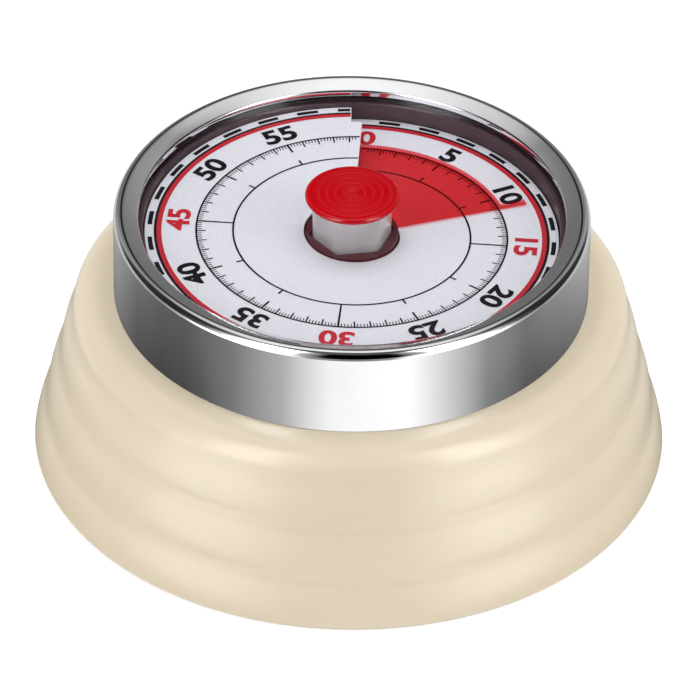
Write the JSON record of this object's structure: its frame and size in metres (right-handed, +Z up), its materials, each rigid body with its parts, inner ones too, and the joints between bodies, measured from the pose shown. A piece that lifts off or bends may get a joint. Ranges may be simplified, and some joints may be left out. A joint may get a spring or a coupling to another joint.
{
  "type": "mechanical kitchen timer",
  "caption": "Round wind-up kitchen timer: banded cream shell, polished bezel, spiral slit dial and a red disc that a central knob winds round it.",
  "frame": {"origin": "centre of the rim that the timer stands on", "axes": "+Z up along the knob's axis, +Y towards the dial's zero, +X towards fifteen minutes"},
  "size_m": [0.0702, 0.0702, 0.0332],
  "materials": {
    "cream": "glossy cream enamel",
    "bezel_steel": "polished steel",
    "lens_clear": "clear acrylic",
    "cup_dark": "dark maroon plastic",
    "dial_white": "printed white sheet",
    "disc_red": "translucent red film",
    "collar_red": "dark red plastic",
    "cap_red": "glossy red plastic",
    "stem_clear": "clear acrylic",
    "shaft_steel": "turned steel",
    "brass": "stamped brass",
    "spring_steel": "blued spring steel",
    "bell_steel": "pressed steel",
    "cover_black": "moulded black plastic",
    "screw_steel": "zinc plated"
  },
  "bodies": {
    "case": {"base_shell": "cream", "bezel": "bezel_steel", "lens": "lens_clear", "dial_cup": "cup_dark", "dial_ramp": "cup_dark", "dial": "dial_white", "mainspring": "spring_steel", "spring_post": "shaft_steel", "upper_plate": "brass", "lower_plate": "brass", "pillars": "shaft_steel", "pillar_screws": "screw_steel", "movement_screws": "screw_steel", "bell": "bell_steel", "bell_screw": "screw_steel", "hammer_stud": "shaft_steel", "hammer_spring": "spring_steel", "spring_stud": "shaft_steel", "back_cover": "cover_black", "cover_screws": "screw_steel"},
    "knob": {"knob_cap": "cap_red", "knob_stem": "stem_clear", "main_arbor": "shaft_steel", "main_wheel": "brass", "clutch_spring": "spring_steel", "arbor_collar": "brass", "strike_cam": "brass"},
    "disc": {"disc_collar": "collar_red", "red_disc": "disc_red"},
    "second": {"second_arbor": "shaft_steel", "second_wheel": "brass"},
    "third": {"third_arbor": "shaft_steel", "third_wheel": "brass"},
    "escape": {"escape_arbor": "shaft_steel", "escape_wheel": "brass"},
    "balance": {"pallet_arbor": "shaft_steel", "pallet": "bell_steel", "balance_bar": "brass"},
    "hammer": {"hammer": "bell_steel"}
  },
  "joints": [
    {"name": "knob_turn", "type": "hinge", "parent": "case", "child": "knob", "pos_m": [0, 0, 0.02], "axis": [0, 0, -1], "range_deg": [-67.2, 292.8]},
    {"name": "disc_rise", "type": "slide", "parent": "knob", "child": "disc", "axis": [0, 0, 1], "range_m": [-0.0003, 0.0013]},
    {"name": "second_turn", "type": "hinge", "parent": "case", "child": "second", "pos_m": [0.01151, -0.00419, 0.014], "axis": [0, 0, -1], "range_deg": [-1757.3, 403.7]},
    {"name": "third_turn", "type": "hinge", "parent": "case", "child": "third", "pos_m": [0.00771, -0.01235, 0.014], "axis": [0, 0, -1], "range_deg": [-3226.1, 14054.9]},
    {"name": "escape_turn", "type": "hinge", "parent": "case", "child": "escape", "pos_m": [0.00034, -0.01365, 0.014], "axis": [0, 0, -1], "range_deg": [-105408.5, 24192.5]},
    {"name": "balance_rock", "type": "hinge", "parent": "case", "child": "balance", "pos_m": [-0.00466, -0.01347, 0.014], "axis": [0, 0, 1], "range_deg": [-5, 5]},
    {"name": "hammer_swing", "type": "hinge", "parent": "case", "child": "hammer", "pos_m": [-0.015, -0.009, 0.008], "axis": [0, 0, 1], "range_deg": [-5, 1.2], "stiffness_Nm_per_rad": 0.001, "deforming": ["hammer_spring"]}
  ],
  "couplings": [
    {"joint": "knob_turn", "follows": "disc_rise", "rad_per_m": 3927},
    {"joint": "second_turn", "follows": "disc_rise", "rad_per_m": -23562},
    {"joint": "third_turn", "follows": "disc_rise", "rad_per_m": 188500},
    {"joint": "escape_turn", "follows": "disc_rise", "rad_per_m": -1413700}
  ]
}
